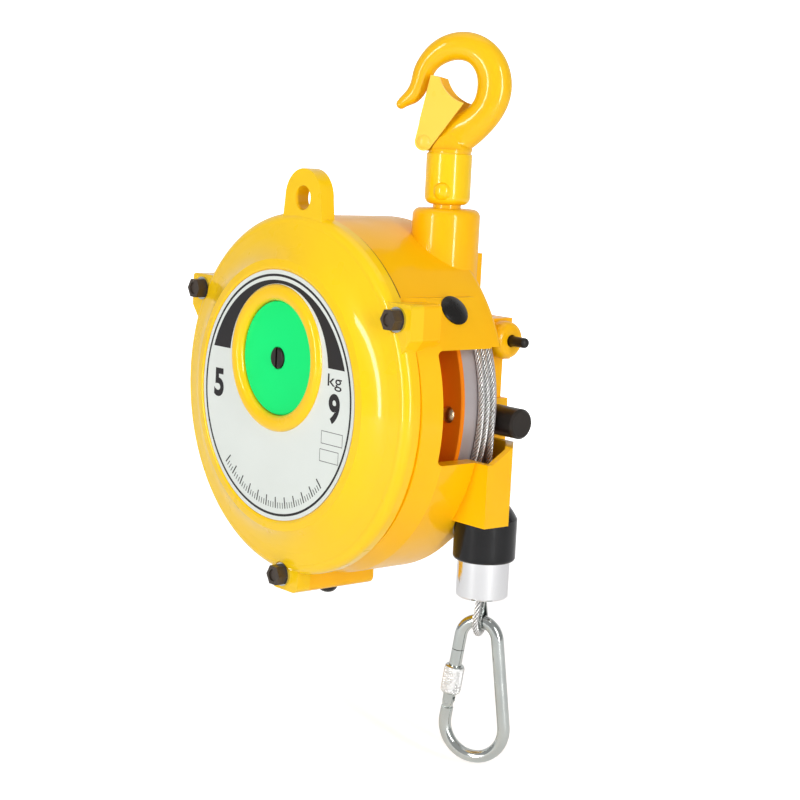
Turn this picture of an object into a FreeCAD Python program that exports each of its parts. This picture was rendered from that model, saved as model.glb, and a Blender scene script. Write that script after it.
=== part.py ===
"""Spring balancer for hanging tools: a cast case with a spring driven rope drum, a swivel hook on
top and a screw gate carabiner on the rope.  Millimetres.

The pieces are built around the drum: its axis is the Y axis, the name plate lies at y = 0 with the
front towards -Y, and the rope runs down on the +X side.  On export everything moves so that the
origin is the saddle of the top hook, above the swivel axis, with +Z up.
"""
import FreeCAD, Part
import math
import os

V = FreeCAD.Vector
X_AXIS, Y_AXIS, Z_AXIS = V(1, 0, 0), V(0, 1, 0), V(0, 0, 1)
ZERO = V(0, 0, 0)

# ---------------------------------------------------------------- driving dimensions, millimetres
gap = 0.3                    # air between pieces that move past each other
fit = 0.05                   # radial clearance of shafts in their holes

rope_d = 3.6                 # wire rope
rope_turns = 3               # turns lying on the drum
turn_gap = 0.3               # air between two turns

drum_r = 88.0                # surface that the rope lies on
drum_front = 53.0            # y of the drum's front edge
drum_wall = 5.0
rope_lead = 13.2             # bare drum in front of the first turn's middle
rope_back = 1.4              # drum left behind the last turn
flange_lip = 3.5              # lid between drum and spring case
flange_t = 2.2
spring_case_gap = 3.1
spring_case_front = 14.0
spring_case_wall = 2.0

drum_room = 4.5              # air around the drum
case_wall = 3.5
seam_y = 18.5                # plane where cover and case meet
seam_groove = 0.6            # chamfer on both edges of the seam
gear_depth = 23.8            # from the drum to the back
chamber_back_gap = 0.5       # air behind the drum
barrel_wall = 2.4            # wall between the drum's room and the open back
barrel_corner = 4.5
catch_room = 8.0             # smaller housing on the back around the notched ring
gear_fillet = 3.0
back_corner = 8.0
back_wall = 4.0
pad_shift = 7.0              # the rope side is a second, shifted cylinder
pad_drop = 1.5
pad_under = 1.0
pad_top = 59.0               # its ledge
pad_back = 66.0
pad_run_in = 13.5            # length over which the pad rises behind the seam
block_out = 7.0               # flat side of the worm and lock blocks on the back
neck_out = 3.0
worm_block_half = 11.0
lock_block_up = 10.0
lock_block_down = 15.0
post_foot_half = 11.5           # rib that carries the post over the back
post_foot_back = 17.0

window_front = 29.5
window_top = 34.0
window_sill = -24.0
window_corner = 3.0

cover_lap = 1.0
cover_wall = 4.5
band_w = 18.2
plate_t = 0.6
lip_w = 5.7
rim_w = 6.5
band_drop = 7.0
rim_in = 5.5
rim_drop = 8.6

dial_z = 20.0                # the load dial sits above the drum axis
plate_edge = 7.6             # of the plate beside the dial's collar
dial_t = 2.4
dial_sunk = 0.8
collar_w = 8.8
collar_proud = 3.0
dial_pivot_r = 4.0
dial_screw_r = 5.6

bolt_out = 2.5
bolt_r = 3.0
bolt_af = 10.0
bolt_head = 5.5
bolt_reach = 24.0
washer_r = 6.4
washer_t = 1.2
lug_face = 10.0
lug_half = 10.0
lug_back = 38.0

ear_r = 15.5
ear_hole_r = 6.5
ear_rise = 9.0
ear_x = 4.0
ear_t = 8.5

foot_x = 2.0                 # boss under the case
foot_half = 11.5
foot_drop = 11.0
foot_back = 63.0
foot_plug_y = 40.0
foot_plug_r = 5.6

plug_r = 8.2                 # rubber plug in the pad's shoulder
plug_y = 48.0
plug_z = 53.0

guide_fore = 19.0           # rope guide box under the window
guide_aft = 13.0
guide_room = 15.2
guide_skirt = 7.0
guide_back_top = -16.0        # its rim rises towards the back
guide_floor = -45.0
guide_floor_t = 5.0
guide_wall = 3.8
guide_cut = 15.0
guide_in = 17.8
bush_r = 6.0
bush_flange_r = 7.4
bush_flange_t = 1.5

post_x = 46.0                # swivel post
post_r = 18.0
post_rise = 7.0
post_len = 63.0              # from its top down into the case
post_round = 4.0
post_web = 7.0
nut_pocket_r = 12.4
pocket_len = 36.0
stud_r = 7.5
nut_af = 19.0
nut_t = 6.2
thrust_t = 2.0
thrust_r = 11.0

socket_r = 12.1
socket_gap = 2.0
socket_h = 27.0
socket_floor = 3.0
shank_r = 8.5
spigot_r = 5.5
socket_rivet_r = 3.0
socket_rivet_up = 7.0
rivet_head_r = 4.6
rivet_head_h = 2.4

hook_turn = 33.0             # degrees that the hook is swivelled from facing the front
hook_rise = 36.5
hook_throat_r = 11.0
hook_offset = 4.2            # ring centre beyond the swivel axis
hook_depth = 13.0            # thickness of the hook across its plane
latch_pin_u = -16.4
latch_pin_z = -31.2
latch_pin_r = 2.0
latch_width = 17.6
latch_sheet = 1.2
latch_ear_r = 5.4
latch_ear_t = 8.0

bumper_r = 16.5
bumper_len = 28.5
bumper_shoulder = 6.0
bumper_small_r = 12.5
sleeve_r = 13.8
sleeve_neck_r = 9.0
sleeve_neck = 24.0
sleeve_len = 20.0
sleeve_mouth_r = 9.8
sleeve_chamfer = 1.0
ferrule_len = 14.2
ferrule_r = 6.2
ferrule_drop = 3.5

load_turn = 25.0             # degrees that the carabiner is turned from facing the front
wire_r = 3.4
carabiner_top_r = 10.5
carabiner_low_r = 16.9
carabiner_span = 47.2
eye_gap = 0.6                # the wire lies this far above the thimble at mid width
thimble_t = 0.95
thimble_r = 4.0
thimble_w = 5.0
eye_knee_r = 8.0
eye_lean = 20.3              # degrees between the eye's legs and the upright
nose_end = 8.0               # along the gate side, from where the top bow ends
gate_pin_s = 38.0
gate_pin_r = 1.0
gate_cheek_r = 2.6
tongue_t = 2.8
screw_r = 5.2
screw_len = 15.5
screw_start = 17.4

shaft_r = 6.0
shaft_front = 9.0
hub_r = 11.0
hub_bush_wall = 1.6
arbor_r = 14.0
spring_t = 0.9
spring_width = 28.0
spring_coils = 11

wheel_r = 29.0
wheel_t = 10.0
wheel_behind = 12.6
wheel_teeth = 36
tooth_depth = 2.2
worm_r = 6.7
worm_len = 34.0
worm_rib_gap = 4.0            # rib in the case that holds the worm's far end
worm_rib_t = 7.0
worm_boss_r = 10.0
worm_boss_out = 3.0
worm_shaft_r = 3.4
worm_bush_wall = 1.4
worm_tip_r = 2.7
worm_tip_len = 14.0
worm_neck_len = 3.5
worm_tip_hold = 2.5

lock_behind = 9.0
lock_z = -6.0
lock_nose_r = 6.2            # nose on the case that the knob slides over
lock_nose = 5.0
lock_spring_room = 9.0
lock_pin_r = 3.0
lock_knob_r = 8.0
lock_knob_len = 20.7
lock_knob_cap = 11.0
lock_travel = 4.0
lock_spring_r = 4.2
lock_wire_r = 0.5
lock_spring_coils = 7
catch_in = 28.0                # notched ring on the back of the drum
catch_wall = 8.0
catch_len = 8.6
catch_notches = 6

cap_r = 34.0
cap_t = 3.5
cap_screws = 4
cap_screw_r = 1.9
cap_head_r = 3.6
cap_head_h = 2.4

rivet_count = 6
rivet_in = 6.5
flange_rivet_r = 2.4
flange_head_r = 4.4
flange_head_h = 3.0

# ---------------------------------------------------------------- places worked out from the sizes
turn_pitch = rope_d + turn_gap
flange_r = drum_r + flange_lip
rivet_circle_r = drum_r - rivet_in
spring_case_r = rivet_circle_r - flange_head_r - spring_case_gap
case_r = drum_r + drum_room + case_wall
cover_r = case_r + cover_lap
rim_r = cover_r - rim_in
band_r = rim_r - rim_w
plate_r = band_r - band_w
lip_r = plate_r + lip_w
dial_r = plate_r - plate_edge - collar_w - dial_z
collar_r = dial_r + collar_w
bolt_circle_r = case_r + bolt_out
pad_r = case_r - pad_under
ear_z = case_r + ear_rise
foot_z = -(case_r + foot_drop)
post_top = case_r + post_rise
winding_r = drum_r + rope_d / 2                      # radius of the rope's centre line
rope_x = winding_r
rope_y = drum_front + rope_lead + (rope_turns - 1) * turn_pitch
drum_back = rope_y + rope_d / 2 + rope_back
chamber_back = drum_back + chamber_back_gap
barrel_back = chamber_back + barrel_wall
case_back = drum_back + gear_depth
catch_r = drum_r - catch_in
gear_r = catch_r + catch_room
recess_x = gear_r + block_out                        # flat side of the worm and lock blocks
neck_x = gear_r + neck_out
block_root = gear_r / 2                              # inside the gear housing
wheel_y = drum_back + wheel_behind
worm_z = wheel_r + gap + worm_r
worm_boss_x = recess_x + worm_boss_out
lock_y = drum_back + lock_behind
guide_front = rope_y - guide_fore
guide_back = rope_y + guide_aft
guide_x = rope_x + guide_room + guide_wall
guide_inner_x = rope_x - guide_in
bumper_top = guide_floor - guide_floor_t
bumper_bottom = bumper_top - bumper_len
guide_bottom = bumper_top - guide_skirt
sleeve_bottom = bumper_bottom - sleeve_len
ferrule_top = bumper_bottom - ferrule_drop
post_y = rope_y                                      # hook and rope hang in one plane
socket_bottom = post_top + socket_gap
socket_top = socket_bottom + socket_h
socket_rivet_z = socket_bottom + socket_rivet_up
hook_centre_z = socket_top + hook_rise
hook_saddle_z = hook_centre_z + hook_throat_r
ORIGIN = V(post_x, post_y, hook_saddle_z)
BOLT_ANGLES = (30.0, 150.0, 270.0)


# ---------------------------------------------------------------- small helpers
def rod(radius, length, at, axis):
    return Part.makeCylinder(radius, length, at, axis)


def tube(outer, inner, length, at, axis):
    return rod(outer, length, at, axis).cut(rod(inner, length, at, axis))


def block(x0, x1, y0, y1, z0, z1):
    return Part.makeBox(x1 - x0, y1 - y0, z1 - z0, V(x0, y0, z0))


def outline(points, to_vector):
    """Closed wire; an entry ((a, b), (c, d)) is an arc over (a, b) that ends at (c, d)."""
    edges = []
    first = last = to_vector(*points[0])
    for entry in points[1:]:
        if isinstance(entry[0], tuple):
            over, end = to_vector(*entry[0]), to_vector(*entry[1])
            edges.append(Part.Arc(last, over, end).toShape())
        else:
            end = to_vector(*entry)
            edges.append(Part.LineSegment(last, end).toShape())
        last = end
    if (last - first).Length > 1e-6:
        edges.append(Part.LineSegment(last, first).toShape())
    return Part.Wire(edges)


def turned(points, z=0.0):
    """Solid of revolution about the line parallel to Y at height z; points are (radius, y)."""
    face = Part.Face(outline(points, lambda r, y: V(r, y, z)))
    return face.revolve(V(0, 0, z), Y_AXIS, 360)


def turned_z(points, x, y):
    """Solid of revolution about an upright line at (x, y); points are (radius, z)."""
    face = Part.Face(outline(points, lambda r, z: V(x + r, y, z)))
    return face.revolve(V(x, y, 0), Z_AXIS, 360)


def turned_x(points, y, z):
    """Solid of revolution about the line parallel to X at (y, z); points are (radius, x)."""
    face = Part.Face(outline(points, lambda r, x: V(x, y, z + r)))
    return face.revolve(V(0, y, z), X_AXIS, 360)


def hexagon(across, length, at, axis):
    corner = across / math.sqrt(3)
    ring = [V(corner * math.cos(math.radians(60 * i)), corner * math.sin(math.radians(60 * i)), 0)
            for i in range(7)]
    prism = Part.Face(Part.makePolygon(ring)).extrude(V(0, 0, length))
    prism.Placement = FreeCAD.Placement(at, FreeCAD.Rotation(Z_AXIS, axis))
    return prism


def polar(radius, degrees, y=0.0):
    return V(radius * math.cos(math.radians(degrees)), y, radius * math.sin(math.radians(degrees)))


def group(solids):
    return Part.makeCompound(solids)


def join(shapes):
    return shapes[0].fuse(list(shapes[1:])).removeSplitter()


def dome(radius, height, base, outward):
    ball_r = (radius ** 2 + height ** 2) / (2 * height)
    ball = Part.makeSphere(ball_r, base + outward * (height - ball_r))
    return ball.common(rod(radius, height * 1.5, base, outward))


def dome_rivet(radius, length, head_r, head_h, at, axis):
    """Pin with a domed head at both ends; `at` is under the first head."""
    return join([rod(radius, length, at, axis), dome(head_r, head_h, at, axis * -1),
                 dome(head_r, head_h, at + axis * length, axis)])


# ---------------------------------------------------------------- case
def pad_half_x(z):
    return pad_shift + math.sqrt(pad_r ** 2 - (z + pad_drop) ** 2)


def pad_solid():
    """Raised rope side: a shifted cylinder below the ledge that rises gently behind the seam."""
    at = V(pad_shift, seam_y, -pad_drop)
    rise = Part.makeCone(pad_r - 4, pad_r, pad_run_in, at, Y_AXIS)
    level = rod(pad_r, pad_back - seam_y - pad_run_in, at + Y_AXIS * pad_run_in, Y_AXIS)
    keep = block(0, 2 * case_r, seam_y, pad_back, -2 * case_r, pad_top)
    return rise.fuse(level).common(keep)


def side_lug(side, y0, y1):
    """Bolt lug beside the case: level top, straight outer face, sloping underside."""
    centre = polar(bolt_circle_r, BOLT_ANGLES[0])
    reach = centre.x + lug_half
    top, low = centre.z + lug_half - 2, centre.z - lug_half
    points = [(reach - 30, top), (reach - 2, top), ((reach - 0.6, top - 0.6), (reach, top - 2)),
              (reach, low), (reach - 10, low - 12), (reach - 30, low - 12)]
    face = Part.Face(outline(points, lambda x, z: V(side * x, y0, z)))
    return face.extrude(V(0, y1 - y0, 0)).cut(rod(case_r - 2, y1 - y0, V(0, y0, 0), Y_AXIS))


def foot_boss(y0, y1):
    left, right = foot_x - foot_half, foot_x + foot_half
    points = [(left, -case_r + 8), (left, foot_z + 4), ((left + 1.2, foot_z + 1.2), (left + 4, foot_z)),
              (right - 4, foot_z), ((right - 1.2, foot_z + 1.2), (right, foot_z + 4)),
              (right, -case_r + 8)]
    face = Part.Face(outline(points, lambda x, z: V(x, y0, z)))
    return face.extrude(V(0, y1 - y0, 0)).cut(rod(case_r - 2, y1 - y0, V(0, y0, 0), Y_AXIS))


def guide_box():
    """Box beside the lower drum; its back corner is cut off behind the rope."""
    points = [(guide_inner_x, guide_front), (guide_x, guide_front), (guide_x, guide_back - guide_cut),
              (guide_x - guide_cut, guide_back), (guide_inner_x, guide_back)]
    face = Part.Face(outline(points, lambda x, y: V(x, y, guide_bottom)))
    return face.extrude(V(0, 0, guide_back_top - guide_bottom)).cut(guide_rim())


def guide_rim():
    """Everything above the rim of the guide box, which rises from the sill to its back wall."""
    points = [(guide_front - 1, window_sill), (guide_front + guide_wall, window_sill),
              (guide_back - guide_cut, guide_back_top), (guide_back - guide_cut, 0),
              (guide_front - 1, 0)]
    face = Part.Face(outline(points, lambda y, z: V(guide_inner_x - 1, y, z)))
    return face.extrude(V(guide_x - guide_inner_x + 2, 0, 0))


def guide_hollow():
    wall = guide_wall
    points = [(guide_inner_x, guide_front + wall), (guide_x - wall, guide_front + wall),
              (guide_x - wall, guide_back - guide_cut - wall / 2),
              (guide_x - guide_cut - wall / 2, guide_back - wall), (guide_inner_x, guide_back - wall)]
    face = Part.Face(outline(points, lambda x, y: V(x, y, guide_floor)))
    return face.extrude(V(0, 0, guide_back_top + 1 - guide_floor))


def bolt_holes(y0, y1, radius):
    return group([rod(radius, y1 - y0, polar(bolt_circle_r, angle, y0), Y_AXIS)
                  for angle in BOLT_ANGLES])


def lock_floor_x():
    """Seat of the lock spring in the guide behind the wall."""
    return recess_x - lock_spring_room


def case_outside():
    """Barrel around the drum with the smaller gear housing, its side blocks and the post's rib."""
    edge, corner = case_r - barrel_corner, 0.3 * barrel_corner
    body = turned([(0, seam_y), (case_r - seam_groove, seam_y), (case_r, seam_y + seam_groove),
                   (case_r, barrel_back - barrel_corner),
                   ((case_r - corner, barrel_back - corner), (edge, barrel_back)),
                   (gear_r + gear_fillet, barrel_back),
                   ((gear_r + 0.3 * gear_fillet, barrel_back + 0.3 * gear_fillet),
                    (gear_r, barrel_back + gear_fillet)),
                   (gear_r, case_back - back_corner),
                   ((gear_r - 0.3 * back_corner, case_back - 0.3 * back_corner),
                    (gear_r - back_corner, case_back)), (0, case_back)])
    neck = block(block_root, neck_x, chamber_back, case_back - 1.5, lock_z - lock_block_down, worm_z + 3)
    worm_block = block(block_root, recess_x, barrel_back - 1, case_back, worm_z - worm_block_half,
                       worm_z + worm_block_half)
    lock_block = block(block_root, recess_x, barrel_back - 1, case_back, lock_z - lock_block_down,
                       lock_z + lock_block_up)
    rib = block(post_x - post_foot_half, post_x + post_foot_half, barrel_back - 6, post_y + post_foot_back,
                worm_z - 1, case_r - 16)
    blocks = [solid.makeChamfer(2.0, [edge for edge in solid.Edges if edge.BoundBox.XMin > 1
                                      and edge.BoundBox.YMin > case_back - 2])
              for solid in (neck, worm_block, lock_block)]
    post = rod(post_r, post_len, V(post_x, post_y, post_top - post_len), Z_AXIS)
    post = post.makeFillet(post_round, [edge for edge in post.Edges
                                        if abs(edge.BoundBox.ZMin - post_top) < 1e-6])
    worm_boss = rod(worm_boss_r, worm_boss_out + 15, V(recess_x - 15, wheel_y, worm_z), X_AXIS)
    lock_nose_rod = rod(lock_nose_r, lock_nose + 3, V(recess_x - 3, lock_y, lock_z), X_AXIS)
    body = join([body, rib, post, pad_solid()])
    body = join([body] + blocks + [worm_boss, lock_nose_rod])
    return join([body, side_lug(1, seam_y, lug_back - 8), side_lug(-1, seam_y, lug_back),
                 foot_boss(seam_y, foot_back)])


def main_case():
    inner_r = case_r - case_wall
    chamber = rod(inner_r, chamber_back - seam_y, V(0, seam_y, 0), Y_AXIS)
    gear_room = rod(gear_r - case_wall - 0.5, case_back - back_wall - chamber_back, V(0, chamber_back, 0),
                    Y_AXIS)
    window = block(recess_x, 2 * case_r, window_front, barrel_back + 1, window_sill, window_top)
    window = window.makeFillet(window_corner, [edge for edge in window.Edges
                                               if abs(edge.BoundBox.YMax - window_front) < 1e-6
                                               and edge.BoundBox.XLength > 1])
    body = join([case_outside().cut(window), guide_box()]).cut([chamber, gear_room, guide_hollow()])
    worm_rib = block(-worm_len / 2 - worm_rib_gap - worm_rib_t, -worm_len / 2 - worm_rib_gap,
                     wheel_y - 6, case_back - back_wall + 1, worm_z - 6, worm_z + 6)
    body = join([body, worm_rib])

    pocket = rod(nut_pocket_r, pocket_len, V(post_x, post_y, post_top - post_web - pocket_len), Z_AXIS)
    stud_hole = rod(stud_r + fit, post_web + 2, V(post_x, post_y, post_top - post_web - 1), Z_AXIS)
    bumper_seat = rod(bumper_r + gap + 0.2, 20, V(rope_x, rope_y, bumper_top + gap - 20), Z_AXIS)
    bush_hole = rod(bush_r, 40, V(rope_x, rope_y, guide_floor - 30), Z_AXIS)
    shaft_hole = rod(shaft_r + 2.5 + fit, 2 * back_wall, V(0, case_back - back_wall - 1, 0), Y_AXIS)
    worm_bore = rod(worm_shaft_r + worm_bush_wall, worm_boss_x, V(worm_boss_x / 2, wheel_y, worm_z), X_AXIS)
    worm_end = rod(worm_shaft_r + fit, 20, V(-worm_len / 2 - 20, wheel_y, worm_z), X_AXIS)
    lock_bore = rod(lock_spring_r + lock_wire_r + 0.2, 30, V(lock_floor_x(), lock_y, lock_z), X_AXIS)
    lock_hole = rod(lock_pin_r + fit, 40, V(lock_floor_x() - 20, lock_y, lock_z), X_AXIS)
    foot_hole = rod(foot_plug_r - 2.4, 12, V(foot_x, foot_plug_y, foot_z - 1), Z_AXIS)
    return body.cut([pocket, stud_hole, bumper_seat, bush_hole, shaft_hole, worm_bore, worm_end, lock_bore,
                     lock_hole, foot_hole, plug_pin(0.0), cap_holes(),
                     bolt_holes(seam_y, lug_face + bolt_reach, bolt_r + fit)])


# ---------------------------------------------------------------- front cover and plate
def front_cover():
    shell = turned([(0, plate_t), (plate_r + 0.4, plate_t), (plate_r + 0.4, 0),
                    ((plate_r + 1, -0.5), (plate_r + 2.2, -0.6)), (lip_r, 0),
                    ((lip_r + 6, 4.4), (band_r, band_drop)), (rim_r, rim_drop),
                    ((cover_r - 1.4, rim_drop + 1.7), (cover_r, rim_drop + 5)),
                    (cover_r, seam_y - seam_groove), (cover_r - seam_groove, seam_y),
                    (case_r - case_wall, seam_y), (case_r - case_wall, seam_y - 4),
                    (band_r, band_drop + cover_wall), (lip_r, cover_wall + 1), (0, cover_wall + 1)])
    floor_y = dial_sunk + dial_t + 0.2
    collar = turned([(dial_r + gap, cover_wall + 3), (collar_r, cover_wall + 3), (collar_r, -0.4),
                     ((collar_r - 1.6, -collar_proud + 0.5), (collar_r - 4, -collar_proud)),
                     ((dial_r + 1.6, -collar_proud + 0.9), (dial_r + gap, -collar_proud + 3))], dial_z)
    seat = rod(dial_r + 1, cover_wall + 3 - floor_y, V(0, floor_y, dial_z), Y_AXIS)
    ear = rod(ear_r, ear_t, V(ear_x, seam_y - ear_t, ear_z), Y_AXIS)
    skirt = [(-ear_r, ear_z), (-ear_r - 2, case_r - 8), (ear_r + 2, case_r - 8), (ear_r, ear_z)]
    stem = Part.Face(outline(skirt, lambda x, z: V(ear_x + x, seam_y - ear_t, z))).extrude(V(0, ear_t, 0))
    hub = rod(hub_r + 4, shaft_front + plate_t - cover_wall, V(0, cover_wall, 0), Y_AXIS)
    shell = shell.cut(rod(dial_r + 1, 3 * cover_wall, V(0, -cover_wall, dial_z), Y_AXIS))
    body = join([shell, ear, stem, side_lug(1, lug_face, seam_y), side_lug(-1, lug_face, seam_y),
                 foot_boss(lug_face, seam_y), hub, seat])
    body = join([body, collar])
    pivot_hole = rod(dial_pivot_r + fit, 30, V(0, -5, dial_z), Y_AXIS)
    shaft_seat = rod(shaft_r + fit, 20, V(0, cover_wall + 0.5, 0), Y_AXIS)
    ear_hole = rod(ear_hole_r, 3 * ear_t, V(ear_x, seam_y - 2 * ear_t, ear_z), Y_AXIS)
    spot_faces = bolt_holes(lug_face - 9, lug_face, washer_r + 0.6)
    return body.cut([pivot_hole, shaft_seat, ear_hole, spot_faces,
                     bolt_holes(lug_face - 1, seam_y + 1, bolt_r + 0.3)])


def name_plate():
    disc = rod(plate_r, plate_t, ZERO, Y_AXIS)
    return disc.cut(rod(collar_r + 0.05, 3, V(0, -1, dial_z), Y_AXIS))


def load_dial():
    disc = turned([(0, dial_sunk), (dial_r - 0.6, dial_sunk), (dial_r, dial_sunk + 0.6),
                   (dial_r, dial_sunk + dial_t), (0, dial_sunk + dial_t)], dial_z)
    pivot = rod(dial_pivot_r, cover_wall + 4, V(0, dial_sunk + dial_t, dial_z), Y_AXIS)
    well = rod(dial_screw_r + 0.5, 1.3, V(0, dial_sunk, dial_z), Y_AXIS)
    thread = rod(2.0, 8, V(0, dial_sunk, dial_z), Y_AXIS)
    return disc.fuse(pivot).removeSplitter().cut([well, thread])


def dial_screw():
    seat = dial_sunk + 1.3
    head = turned([(0, seat - 2.4), (dial_screw_r - 1, seat - 2.4),
                   ((dial_screw_r - 0.2, seat - 2.0), (dial_screw_r, seat - 1)),
                   (dial_screw_r, seat), (0, seat)], dial_z)
    screw = head.fuse(rod(2.0, 6, V(0, seat, dial_z), Y_AXIS)).removeSplitter()
    slot = block(-0.7, 0.7, seat - 3, seat - 1.2, dial_z - 8, dial_z + 8)
    return screw.cut(slot)


def cover_bolts():
    solids = []
    for angle in BOLT_ANGLES:
        face = polar(bolt_circle_r, angle, lug_face - washer_t)
        head = hexagon(bolt_af, bolt_head, face - Y_AXIS * bolt_head, Y_AXIS)
        dish = rod(bolt_af / 2 - 1.6, 0.8, face - Y_AXIS * bolt_head, Y_AXIS)
        shank = rod(bolt_r, bolt_reach, face, Y_AXIS)
        solids.append(head.cut(dish).fuse(shank).removeSplitter())
    return group(solids)


def cover_washers():
    return group([tube(washer_r, bolt_r + 0.2, washer_t, polar(bolt_circle_r, a, lug_face - washer_t),
                       Y_AXIS) for a in BOLT_ANGLES])


def plug_pin(grow):
    """Stem of the rubber plug, square to the sloping shoulder of the pad."""
    spot, out = plug_seat()
    return rod(plug_r - 2.2 + grow, 7, spot - out * 5, out)


def plug_seat():
    x = pad_half_x(plug_z)
    out = V(x - pad_shift, 0, plug_z + pad_drop).normalize()
    return V(x, plug_y, plug_z), out


def side_plug():
    spot, out = plug_seat()
    base = spot + out * 0.5
    head_h = 2.0
    skirt = rod(plug_r, 1.0, spot - out * 0.5, out).cut(pad_solid())
    return join([dome(plug_r, head_h, base, out), skirt, rod(plug_r - 2.3, 5.4, spot - out * 4.8, out)])


def foot_plug():
    return turned_z([(0, foot_z - 4.4), ((foot_plug_r * 0.72, foot_z - 3.4), (foot_plug_r, foot_z - 1)),
                     (foot_plug_r, foot_z), (foot_plug_r - 2.5, foot_z),
                     (foot_plug_r - 2.5, foot_z + 8), (0, foot_z + 8)], foot_x, foot_plug_y)


# ---------------------------------------------------------------- back cap
def cap_spots(y):
    return [polar(cap_r - 5, 45 + i * 360 / cap_screws, y) for i in range(cap_screws)]


def cap_holes():
    return group([rod(cap_screw_r + fit, back_wall + 2, spot, Y_AXIS)
                  for spot in cap_spots(case_back - back_wall - 1)])


def rear_cap():
    disc = turned([(0, case_back), (cap_r, case_back), (cap_r, case_back + cap_t - 1),
                   (cap_r - 1, case_back + cap_t), (hub_r + 4, case_back + cap_t),
                   (hub_r + 2, case_back + cap_t + 3), (0, case_back + cap_t + 3)])
    pocket = rod(shaft_r + 3, 2.5, V(0, case_back, 0), Y_AXIS)
    holes = [rod(cap_screw_r + 0.2, 10, spot, Y_AXIS) for spot in cap_spots(case_back - 1)]
    return disc.cut([pocket] + holes)


def cap_screws_group():
    solids = []
    for spot in cap_spots(case_back + cap_t):
        head = rod(cap_head_r, cap_head_h, spot, Y_AXIS)
        socket = hexagon(3.0, 1.6, spot + Y_AXIS * (cap_head_h - 1.4), Y_AXIS)
        shank = rod(cap_screw_r, cap_t + back_wall, spot - Y_AXIS * (cap_t + back_wall), Y_AXIS)
        solids.append(head.cut(socket).fuse(shank).removeSplitter())
    return group(solids)


# ---------------------------------------------------------------- shaft, spring and drum
def main_shaft():
    """Shaft that the load adjuster turns: it carries the arbor of the spring and the drum's hub."""
    core = rod(shaft_r, case_back - 0.5 - shaft_front + 3, V(0, shaft_front - 3, 0), Y_AXIS)
    slit = block(-0.6, 0.6, spring_case_front + 2, spring_case_front + 4 + spring_width, 0, shaft_r + 1)
    return core.cut(slit)


def rear_bush():
    return tube(shaft_r + 2.5, shaft_r + fit, back_wall - 0.1, V(0, case_back - back_wall, 0), Y_AXIS)


def spring_arbor():
    length = spring_width
    at = V(0, spring_case_front + spring_case_wall + 2, 0)
    arbor = tube(arbor_r, shaft_r + fit, length, at, Y_AXIS)
    key = block(-0.55, 0.55, at.y, at.y + length, 0, shaft_r + 1)
    return arbor.fuse(key).removeSplitter()


def mainspring():
    """Flat spiral of half circles: it starts on the arbor and ends at the spring case."""
    at_y = spring_case_front + spring_case_wall + 2
    start = arbor_r + gap
    room = spring_case_r - spring_case_wall - gap - spring_t - start
    step = room / (2 * spring_coils)

    def chain(offset):
        edges = []
        for i in range(2 * spring_coils):
            side = 1 if i % 2 == 0 else -1
            centre = 0 if side > 0 else step
            radius = start + offset + i * step
            edges.append(Part.Arc(V(centre + side * radius, at_y, 0), V(centre, at_y, side * radius),
                                  V(centre - side * radius, at_y, 0)).toShape())
        return edges

    inner, outer = chain(0.0), chain(spring_t)
    ends = [Part.LineSegment(inner[0].Vertexes[0].Point, outer[0].Vertexes[0].Point).toShape(),
            Part.LineSegment(inner[-1].Vertexes[-1].Point, outer[-1].Vertexes[-1].Point).toShape()]
    wire = Part.Wire(Part.__sortEdges__(inner + outer + ends))
    return Part.Face(wire).extrude(V(0, spring_width, 0))


def spring_case():
    front, back, wall = spring_case_front, drum_front - flange_t, spring_case_wall
    shell = turned([(hub_r, front), (spring_case_r - 5, front),
                    ((spring_case_r - 1.5, front + 1.5), (spring_case_r, front + 5)),
                    (spring_case_r, back), (flange_r - 0.5, back), (flange_r, back + 0.5),
                    (flange_r, drum_front), (spring_case_r - wall, drum_front),
                    (spring_case_r - wall, front + wall), (hub_r, front + wall)])
    return shell.cut(rivet_bores(back - 1, drum_front + 1))


def rivet_spots(y):
    return [polar(rivet_circle_r, -1 + i * 360 / rivet_count, y) for i in range(rivet_count)]


def rivet_bores(y0, y1):
    return group([rod(flange_rivet_r + fit, y1 - y0, spot, Y_AXIS) for spot in rivet_spots(y0)])


def drum():
    """Rope drum: a rim that the rope lies on, a web, a hub and the notched ring of the lock."""
    web_back = drum_front + drum_wall
    rim_in = drum_r - drum_wall
    bore = shaft_r + hub_bush_wall + fit
    body = turned([(bore, drum_front), (drum_r, drum_front), (drum_r, drum_back - 1.1),
                   (drum_r + 1.5, drum_back - 1.1), (drum_r + 1.5, drum_back), (rim_in, drum_back),
                   (rim_in - 2, web_back), (catch_r, web_back), (catch_r, drum_back + catch_len),
                   (catch_r - catch_wall, drum_back + catch_len), (catch_r - catch_wall, web_back),
                   (hub_r + 8, web_back), (hub_r, web_back + 8), (hub_r, drum_back),
                   (bore, drum_back)])
    cuts = [rod(flange_rivet_r + fit, drum_wall + 2, spot, Y_AXIS)
            for spot in rivet_spots(drum_front - 1)]
    half = lock_pin_r + 0.5
    for i in range(catch_notches):
        notch = block(catch_r - lock_travel - 1, catch_r + 2, drum_back + 1, drum_back + catch_len + 1,
                      lock_z - half, lock_z + half)
        notch.rotate(ZERO, Y_AXIS, i * 360 / catch_notches)
        cuts.append(notch)
    return body.cut(cuts)


def flange_rivets():
    solids = []
    for spot in rivet_spots(drum_front - flange_t):
        shank = rod(flange_rivet_r, flange_t + drum_wall, spot, Y_AXIS)
        solids.append(join([shank, dome(flange_head_r, flange_head_h, spot, Y_AXIS * -1)]))
    return group(solids)


def hub_bushes():
    at = V(0, drum_front, 0)
    return tube(shaft_r + hub_bush_wall, shaft_r + fit, drum_back - drum_front, at, Y_AXIS)


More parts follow.
